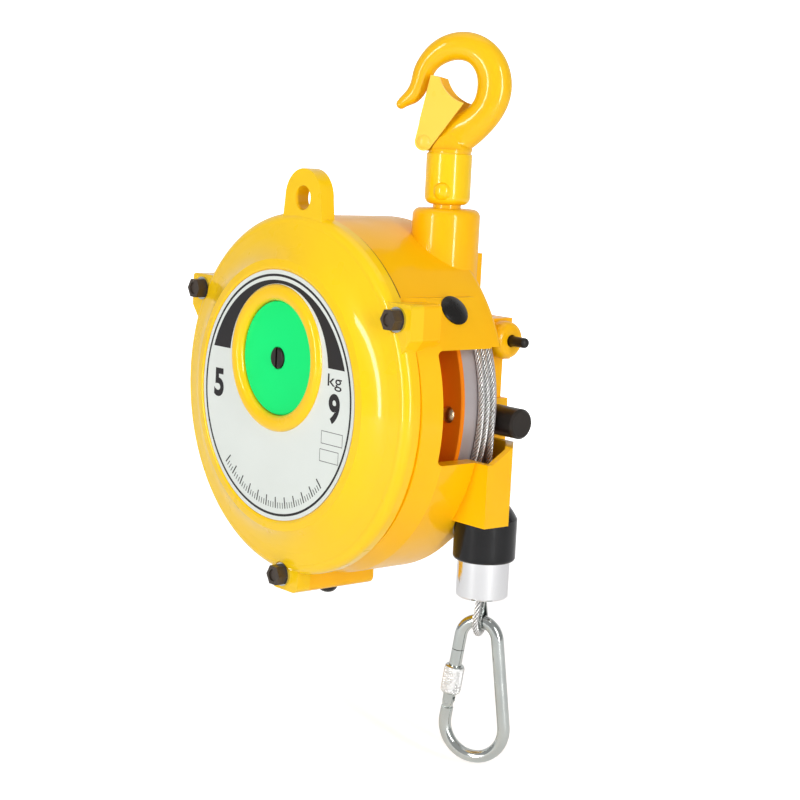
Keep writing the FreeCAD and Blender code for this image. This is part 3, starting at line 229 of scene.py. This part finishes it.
ZINC = metal("bright_zinc", (0.60, 0.63, 0.61), (0.46, 0.49, 0.48), 0.15, 0.00002)
KNURL = metal("knurled_zinc", (0.88, 0.88, 0.87), (0.78, 0.78, 0.78), 0.24, 0.00002, metallic=0.85)
FERRULE = metal("pressed_alloy", (0.95, 0.95, 0.95), (0.88, 0.88, 0.89), 0.4, 0.00002, metallic=0.2)
STEEL = metal("machined_steel", (0.42, 0.42, 0.42), (0.30, 0.30, 0.31), 0.32, 0.00002, (1, 8, 1))
RIVET = metal("rivet_steel", (0.42, 0.33, 0.22), (0.30, 0.22, 0.14), 0.3)
BLUED = metal("spring_steel", (0.16, 0.18, 0.22), (0.10, 0.11, 0.15), 0.3)
# The near-black second colour is painted shade for the grooves between the strands.
STRAND = wire("rope_wire_groove_shade", (0.88, 0.87, 0.86), (0.10, 0.09, 0.085))
ALLOY = metal("drum_alloy", (0.52, 0.475, 0.48), (0.45, 0.41, 0.415), 0.42, 0.00003, (1, 30, 1), 60, 0.35)
SLEEVE = metal("drawn_alloy", (0.84, 0.84, 0.85), (0.78, 0.78, 0.80), 0.11, 0.00001, (1, 1, 30), 60)
# Dark brown colour for painted shade in the groove between cover and case.
SEAM_SHADE = print_stock("painted_seam_shade", (0.16, 0.055, 0.004), (0.12, 0.04, 0.003), 0.5)
BRONZE = metal("bronze", (0.42, 0.24, 0.09), (0.32, 0.18, 0.07), 0.36)


def dress(material, *names):
    for name in names:
        slots = NODES[name].data.materials
        slots.clear()
        slots.append(material)


dress(YELLOW, "front_cover", "hook_socket", "socket_rivet", "swivel_stud")
dress(SHADED_HOOK_YELLOW, "hook")
dress(SHADED_CASE_YELLOW, "main_case", "rear_cap")
dress(LATCH_YELLOW, "hook_latch", "latch_rivet")
dress(ORANGE, "spring_case")
dress(RIVET, "flange_rivets")
dress(GREEN, "load_dial")
dress(PLATE, "name_plate")
dress(RUBBER, "rubber_bumper")
dress(DULL_RUBBER, "side_plug", "foot_plug")
dress(BOLT, "cover_bolts")
dress(BLACK, "rear_cap_screws", "dial_screw", "worm_tip", "lock_knob", "worm", "worm_bush")
dress(ZINC, "cover_washers", "rope_thimble", "swivel_nut", "carabiner_body", "carabiner_gate",
      "gate_pin", "screw_sleeve")
dress(STEEL, "main_shaft", "spring_arbor", "worm_wheel", "shaft_collar", "lock_pin")
dress(BLUED, "mainspring", "latch_spring", "lock_spring")
dress(STRAND, "rope_windings", "rope_run", "rope_eye")
dress(ALLOY, "drum")
dress(SLEEVE, "stop_sleeve")
dress(FERRULE, "rope_ferrule")
dress(BRONZE, "hub_bush", "guide_bush", "rear_bush", "thrust_washer")


# ---------------------------------------------------------------- mesh helpers
def new_piece(name, mesh_data, material, body):
    obj = bpy.data.objects.new(name, mesh_data)
    bpy.context.scene.collection.objects.link(obj)
    obj.data.materials.append(material)
    if body:
        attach(obj, body)
    return obj


def from_bmesh(bm, name, material, body, smooth=False):
    mesh_data = bpy.data.meshes.new(name)
    bm.to_mesh(mesh_data)
    bm.free()
    if smooth:
        for face in mesh_data.polygons:
            face.use_smooth = True
    return new_piece(name, mesh_data, material, body)


def circle(cx, cz, radius, start, end, steps):
    """Points (x, z) on an arc; angles in degrees from +X towards +Z."""
    return [(cx + radius * math.cos(math.radians(start + (end - start) * i / steps)),
             cz + radius * math.sin(math.radians(start + (end - start) * i / steps))) for i in range(steps + 1)]


PRINT_LIFT = 0.04


def band(name, outer, inner, material=None):
    """Flat printed band on the name plate between two lists of (x, z) points in millimetres."""
    bm = bmesh.new()
    rows = [[bm.verts.new(spot(x, -PRINT_LIFT, z)) for x, z in points] for points in (outer, inner)]
    for i in range(len(outer) - 1):
        bm.faces.new((rows[0][i], rows[0][i + 1], rows[1][i + 1], rows[1][i]))
    bmesh.ops.recalc_face_normals(bm, faces=bm.faces)
    return from_bmesh(bm, name, material or INK, "housing")


# ---------------------------------------------------------------- print on the name plate
band("plate_ring", circle(0, 0, 64.6, 0, 360, 160), circle(0, 0, 63.3, 0, 360, 160))
HORN_Z, WEDGE_R, BOW_X, BOW_Z, BOW_R = 20.2, 61.4, 0.9, 16.0, 43.5
outer_from = math.degrees(math.asin(HORN_Z / WEDGE_R))
inner_from = math.degrees(math.asin((HORN_Z - BOW_Z) / BOW_R))
band("plate_wedge", circle(0, 0, WEDGE_R, outer_from, 180 - outer_from, 90),
     circle(BOW_X, BOW_Z, BOW_R, inner_from, 180 - inner_from, 90))


def figure(text, name, x, z, width, height, bold=0.0):
    """One figure in the built in typeface, fitted into a box on the name plate."""
    curve = bpy.data.curves.new(name, "FONT")
    curve.body = text
    curve.offset = bold
    temp = bpy.data.objects.new(name, curve)
    mesh_data = bpy.data.meshes.new_from_object(temp)
    bpy.data.objects.remove(temp)
    xs = [v.co.x for v in mesh_data.vertices]
    ys = [v.co.y for v in mesh_data.vertices]
    for v in mesh_data.vertices:
        u = (v.co.x - min(xs)) / (max(xs) - min(xs)) - 0.5
        w = (v.co.y - min(ys)) / (max(ys) - min(ys)) - 0.5
        v.co = spot(x + u * width, -PRINT_LIFT, z + w * height)
    mesh_data.materials.clear()
    return new_piece(name, mesh_data, INK, "housing")


figure("5", "plate_low_figure", -52.0, 0.3, 9.0, 15.8, 0.035)
figure("9", "plate_high_figure", 50.6, -0.2, 9.2, 15.8, 0.035)
figure("kg", "plate_unit", 50.2, 13.4, 11.6, 8.4, 0.004)


def ruled_box(name, x0, x1, z0, z1, line=0.35):
    outer = [(x0, z0), (x1, z0), (x1, z1), (x0, z1), (x0, z0)]
    inner = [(x0 + line, z0 + line), (x1 - line, z0 + line), (x1 - line, z1 - line), (x0 + line, z1 - line),
             (x0 + line, z0 + line)]
    band(name, outer, inner, GREY_INK)


ruled_box("plate_box_a", 41.0, 58.6, -19.2, -12.4)
ruled_box("plate_box_b", 40.2, 55.8, -28.6, -22.0)


def tick_marks():
    """Plain scale marks along the lower edge of the plate."""
    bm = bmesh.new()
    count = 45
    for i in range(count):
        angle = math.radians(225 + 90 * i / (count - 1))
        long = i % 4 == 0
        inner_r, outer_r = (54.4 if long else 57.2), 60.4
        half = 0.42 if long else 0.26
        out = V((math.cos(angle), 0, math.sin(angle)))
        side = V((-math.sin(angle), 0, math.cos(angle)))
        corners = [(inner_r, -half), (outer_r, -half), (outer_r, half), (inner_r, half)]
        lift = V((0, -PRINT_LIFT, 0))
        bm.faces.new([bm.verts.new(DRUM + (out * r + side * s + lift) * MM) for r, s in corners])
    bmesh.ops.recalc_face_normals(bm, faces=bm.faces)
    from_bmesh(bm, "plate_ticks", INK, "housing")


tick_marks()


# ---------------------------------------------------------------- painted shade line in the seam of the case
def seam_line(name, radius, y0, y1, gaps):
    """Dark strip of painted shade that lies in the groove between cover and case, left out at the bolt lugs."""
    bm = bmesh.new()
    steps = 360
    for i in range(steps):
        if any(a <= i < b for a, b in gaps):
            continue
        corners = []
        for turn, y in ((i, y0), (i + 1, y0), (i + 1, y1), (i, y1)):
            angle = 2 * math.pi * turn / steps
            corners.append(bm.verts.new(spot(radius * math.cos(angle), y, radius * math.sin(angle))))
        bm.faces.new(corners)
    bmesh.ops.remove_doubles(bm, verts=bm.verts, dist=1e-6)
    bmesh.ops.recalc_face_normals(bm, faces=bm.faces)
    return from_bmesh(bm, name, SEAM_SHADE, "housing")


SEAM_R, SEAM_Y0, SEAM_Y1 = 96.06, 17.95, 19.5
LUGS = [(22, 38), (83, 93), (142, 158), (263, 277)]      # degrees taken by lugs, ear and foot
# Painted shade along the seam groove.
seam_line("seam_painted_shade", SEAM_R, SEAM_Y0, SEAM_Y1, LUGS)


# ---------------------------------------------------------------- cap on the worm's boss
WORM_Y, WORM_Z = 15.8, -143.5                  # the worm's axis, millimetres


def boss_cap():
    """Rounded cover of the casting round the worm's end, turned about the worm's axis."""
    face_x, shoulder_x, end_x = 32.1, 34.4, 39.0
    bore_r, outer_r, land_r, sides = 3.3, 10.0, 5.6, 64
    profile = [(face_x, bore_r), (face_x, outer_r), (shoulder_x, outer_r)]
    profile += [(shoulder_x + (end_x - shoulder_x) * math.sin(a), land_r + (outer_r - land_r) * math.cos(a))
                for a in (math.pi / 16 * i for i in range(1, 9))]
    profile += [(end_x, bore_r)]
    bm = bmesh.new()
    rows = []
    for i in range(sides):
        a = 2 * math.pi * i / sides
        rows.append([bm.verts.new(V((x, WORM_Y + r * math.cos(a), WORM_Z + r * math.sin(a))) * MM)
                     for x, r in profile])
    for one, two in zip(rows, rows[1:] + rows[:1]):
        for j in range(len(profile)):
            k = (j + 1) % len(profile)
            bm.faces.new((one[j], one[k], two[k], two[j]))
    bmesh.ops.recalc_face_normals(bm, faces=bm.faces)
    return from_bmesh(bm, "worm_boss_cap", SHADED_CASE_YELLOW, "housing")


boss_cap()


# ---------------------------------------------------------------- wire rope
def rope_mesh(name, points, length, body, closed=False, lay=15.0, strands=6, sides=8):
    """Strands twisted round a line of points whose length is given in millimetres."""
    steps = len(points)
    tangents = []
    for i in range(steps):
        ahead = points[(i + 1) % steps] if closed else points[min(i + 1, steps - 1)]
        behind = points[i - 1] if (closed or i) else points[0]
        tangents.append((ahead - behind).normalized())
    normal = tangents[0].orthogonal().normalized()
    frames = []
    for i in range(steps):
        normal = (normal - tangents[i] * normal.dot(tangents[i])).normalized()
        frames.append((normal.copy(), tangents[i].cross(normal)))
    turns = max(1, round(length / lay)) if closed else length / lay
    strand_r = ROPE_D * 0.165
    crown = []
    offset_r = ROPE_D / 2 - strand_r
    bm = bmesh.new()
    for s in range(strands + 1):
        radius = offset_r if s < strands else 0.0
        rings = []
        for i in range(steps):
            share = i / (steps if closed else steps - 1)
            angle = 2 * math.pi * (s / strands + turns * share)
            a, b = frames[i]
            out = a * math.cos(angle) + b * math.sin(angle)
            across = b * math.cos(angle) - a * math.sin(angle)
            centre = points[i] + out * radius
            rings.append([bm.verts.new(centre + (out * math.cos(2 * math.pi * k / sides)
                                                 + across * math.sin(2 * math.pi * k / sides)) * strand_r)
                          for k in range(sides)])
        # Crown share per vertex, 1 facing out and 0 facing in; the rope material paints shade where it is low.
        crown += [(1 + math.cos(2 * math.pi * k / sides)) / 2 for _ in range(steps) for k in range(sides)]
        count = steps if closed else steps - 1
        for i in range(count):
            low, high = rings[i], rings[(i + 1) % steps]
            for k in range(sides):
                bm.faces.new((low[k], low[(k + 1) % sides], high[(k + 1) % sides], high[k]))
        if not closed:
            bm.faces.new(rings[0][::-1])
            bm.faces.new(rings[-1])
    bmesh.ops.recalc_face_normals(bm, faces=bm.faces)
    piece = from_bmesh(bm, name, STRAND, body, smooth=True)
    piece.data.attributes.new("crown", "FLOAT", "POINT").data.foreach_set("value", crown)
    return piece


WINDING_R, TURNS, PITCH = 89.8, 3, 3.9
ROPE_Y = 74.0                                  # from the name plate's face to the first turn
for turn in range(TURNS):
    sweep = 320 if turn == 0 else 360          # the first turn stays open where the rope leaves the drum
    steps = sweep * 4 // 3
    angles = [math.radians(sweep * i / (steps - (turn == 0))) for i in range(steps)]
    loop = [spot(WINDING_R * math.cos(a), ROPE_Y - turn * PITCH, WINDING_R * math.sin(a)) for a in angles]
    piece = rope_mesh("drum_rope_turn_%d" % turn, loop, math.radians(sweep) * WINDING_R, "drum", turn > 0)
    if turn == 0:
        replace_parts(piece, "rope_windings")

low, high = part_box("rope_run")
run_top, run_low = high.z, low.z
run_points = [V((ROPE.x, ROPE.y, run_low + (run_top - run_low) * i / 70)) for i in range(71)]
run = rope_mesh("free_rope", run_points, (run_top - run_low) / MM, None)
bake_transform(run)
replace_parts(run, "rope_run")

# The rope's eye lies in a plane square to the carabiner: straight legs, a knee and the bow.
LOAD_N = V((0.42262, -0.90631, 0.0))
EYE_Z, EYE_TOP, BEND_R, LEG_N, KNEE_R = -111.9, -84.0, 6.75, 1.95, 8.0
lean = math.radians(20.3)
bow_n, bow_z = BEND_R * math.cos(lean), EYE_Z + BEND_R * math.sin(lean)
knee_n = LEG_N + KNEE_R * (1 - math.cos(lean))
knee_z = bow_z + (bow_n - knee_n) / math.tan(lean)
knee_top = knee_z + KNEE_R * math.sin(lean)


def eye_side(side):
    """Points (n, z) from the ferrule down one leg to where the bow starts."""
    straight = [(LEG_N, EYE_TOP + (knee_top - EYE_TOP) * i / 6) for i in range(6)]
    knee = [(LEG_N + KNEE_R * (1 - math.cos(lean * i / 5)), knee_top - KNEE_R * math.sin(lean * i / 5))
            for i in range(6)]
    slope = [(knee_n + (bow_n - knee_n) * i / 6, knee_z + (bow_z - knee_z) * i / 6) for i in range(1, 7)]
    return [(side * n, z) for n, z in straight + knee + slope]


bow_turn = math.pi + 2 * lean
bow = [(BEND_R * math.cos(lean - bow_turn * i / 24), EYE_Z + BEND_R * math.sin(lean - bow_turn * i / 24))
       for i in range(1, 24)]
eye_line = eye_side(1) + bow + eye_side(-1)[::-1]
eye_points = [ROPE + LOAD_N * n * MM + V((0, 0, z)) * MM for n, z in eye_line]
eye_length = sum((b - a).length for a, b in zip(eye_points, eye_points[1:])) / MM
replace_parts(rope_mesh("eye_rope", eye_points, eye_length, "load", lay=13.0), "rope_eye")


# ---------------------------------------------------------------- knurl on the screw sleeve
def knurled_skin(name, low_end, high_end, radius, height, body, material):
    """Diamond knurl as a thin skin round a cylinder between two points."""
    axis = (high_end - low_end).normalized()
    a = axis.orthogonal().normalized()
    b = axis.cross(a)
    length = (high_end - low_end).length
    around, along, starts, twist = 144, 60, 24, 0.33
    bm = bmesh.new()
    rings = []
    for j in range(along + 1):
        ring = []
        for i in range(around):
            turn = 2 * math.pi * i / around
            lead = twist * 2 * math.pi * 3.2 * j / along
            ridge = min(abs(math.sin(starts * (turn + lead) / 2)), abs(math.sin(starts * (turn - lead) / 2)))
            edge = min(1.0, min(j, along - j) / 3)
            r = radius + height * ridge * edge
            out = a * math.cos(turn) + b * math.sin(turn)
            ring.append(bm.verts.new(low_end + axis * (length * j / along) + out * r))
        rings.append(ring)
    for one, two in zip(rings, rings[1:]):
        for i in range(around):
            bm.faces.new((one[i], one[(i + 1) % around], two[(i + 1) % around], two[i]))
    bmesh.ops.recalc_face_normals(bm, faces=bm.faces)
    return from_bmesh(bm, name, material, body)


screw_top = V((32.2334, -5.3936, -317.7156)) * MM
screw_low = V((30.3286, -6.2818, -333.0724)) * MM
screw_axis = (screw_low - screw_top).normalized() * MM
knurled_skin("screw_knurl", screw_top + screw_axis * 0.9, screw_low - screw_axis * 0.9, 5.21 * MM, 0.35 * MM,
             "gate_screw", KNURL)

# ---------------------------------------------------------------- floor, light and camera
CAMERA_BACK = V((0.7495, -0.6469, 0.1402))     # from the object towards the camera
CAMERA_RIGHT = V((0.6534, 0.7570, 0))
CAMERA_PLACE = V((0.7147, -0.6428, -0.0444))
CAMERA_ROLL = math.radians(2.90)
CAMERA_LENS = 81.0
FLOOR_GAP = 4 * MM                             # between the carabiner's low end and the floor
FLOOR_IN_MIRRORS = 0.32                        # share of the white floor that gloss and glass show
SKY_STRENGTH, SKY_IN_MIRRORS = 0.35, 0.07
floor_z = cad_box[0][2] - FLOOR_GAP


def stage_mesh():
    """Floor that curves up into a backdrop behind the object, seen from the camera."""
    bm = bmesh.new()
    near, far, bend, height = -3.0, 1.6, 0.8, 4.0
    profile = [(near, 0.0), (far, 0.0)]
    profile += [(far + bend * math.sin(a), bend - bend * math.cos(a))
                for a in (math.pi / 16 * i for i in range(1, 9))]
    profile += [(far + bend, height)]
    look = V((-CAMERA_BACK.x, -CAMERA_BACK.y, 0)).normalized()
    side = V((look.y, -look.x, 0))
    rows = [[bm.verts.new(look * d + side * w + V((0, 0, floor_z + h))) for w in (-5, 5)] for d, h in profile]
    for a, b in zip(rows, rows[1:]):
        bm.faces.new((a[0], a[1], b[1], b[0]))
    mesh_data = bpy.data.meshes.new("studio_floor")
    bm.to_mesh(mesh_data)
    bm.free()
    obj = bpy.data.objects.new("studio_floor", mesh_data)
    bpy.context.scene.collection.objects.link(obj)
    n = Nodes("studio_white")
    n.set(Base_Color=n.mix(n.noise(3, 2), (0.90, 0.90, 0.90), (0.93, 0.93, 0.93)), Roughness=0.8)
    seen = n.add("ShaderNodeLightPath").outputs
    mirrored = n.maths("MAXIMUM", seen["Is Glossy Ray"], seen["Is Transmission Ray"])
    shown = n.maths("MAXIMUM", seen["Is Camera Ray"], n.maths("MULTIPLY", mirrored, FLOOR_IN_MIRRORS))
    away = n.add("ShaderNodeVectorMath", operation="LENGTH")
    n.link(n.place, away.inputs[0])
    share = n.ramp(away.outputs["Value"], 0.45, 1.0, 0.5, 1.6)    # weaker near the object, for its shadow
    n.set(Emission_Color=(1.0, 1.0, 1.0, 1.0), Emission_Strength=n.maths("MULTIPLY", shown, share))
    for face in mesh_data.polygons:
        face.use_smooth = True
    obj.data.materials.append(n.material)


stage_mesh()


def area(name, place, size, watts, colour=(1, 1, 1), aim=(0, 0, -0.18)):
    light = bpy.data.lights.new(name, "AREA")
    light.shape = "RECTANGLE"
    light.size, light.size_y = size
    light.energy = watts
    light.color = colour
    obj = bpy.data.objects.new(name, light)
    obj.location = place
    obj.rotation_euler = (V(aim) - V(place)).to_track_quat("-Z", "Y").to_euler()
    bpy.context.scene.collection.objects.link(obj)
    return obj


area("front_strip", (0.02, -1.38, -0.02), (0.17, 1.25), 11)
area("side_strip", (1.31, -0.24, -0.02), (0.14, 1.25), 12)
area("top", (-0.1, 0.0, 1.05), (1.0, 1.0), 2.2)
area("back_fill", (-1.0, 1.3, 0.45), (1.2, 1.2), 6.5).visible_glossy = False
world = bpy.data.worlds.new("studio")
world.use_nodes = True
background = world.node_tree.nodes["Background"]
background.inputs["Color"].default_value = (1, 1, 1, 1)
sky = world.node_tree
rays = sky.nodes.new("ShaderNodeLightPath").outputs
in_gloss = math_node(sky, "MAXIMUM", rays["Is Glossy Ray"], rays["Is Transmission Ray"])
sky_light = math_node(sky, "MULTIPLY_ADD", in_gloss, SKY_IN_MIRRORS, SKY_STRENGTH)
sky.links.new(math_node(sky, "MAXIMUM", rays["Is Camera Ray"], sky_light), background.inputs["Strength"])
bpy.context.scene.world = world
bpy.context.scene.view_settings.view_transform = "Standard"

camera = bpy.data.cameras.new("photo_camera")
camera.sensor_width = 36.0
camera.lens = CAMERA_LENS
camera.clip_start, camera.clip_end = 0.05, 20
eye = bpy.data.objects.new("photo_camera", camera)
back = CAMERA_BACK.normalized()
right = CAMERA_RIGHT.normalized()
up = back.cross(right)
across = right * math.cos(CAMERA_ROLL) + up * math.sin(CAMERA_ROLL)
upward = up * math.cos(CAMERA_ROLL) - right * math.sin(CAMERA_ROLL)
placed = Matrix((across, upward, back)).transposed().to_4x4()
placed.translation = CAMERA_PLACE
eye.matrix_world = placed
bpy.context.scene.collection.objects.link(eye)
bpy.context.scene.camera = eye

bpy.context.view_layer.update()
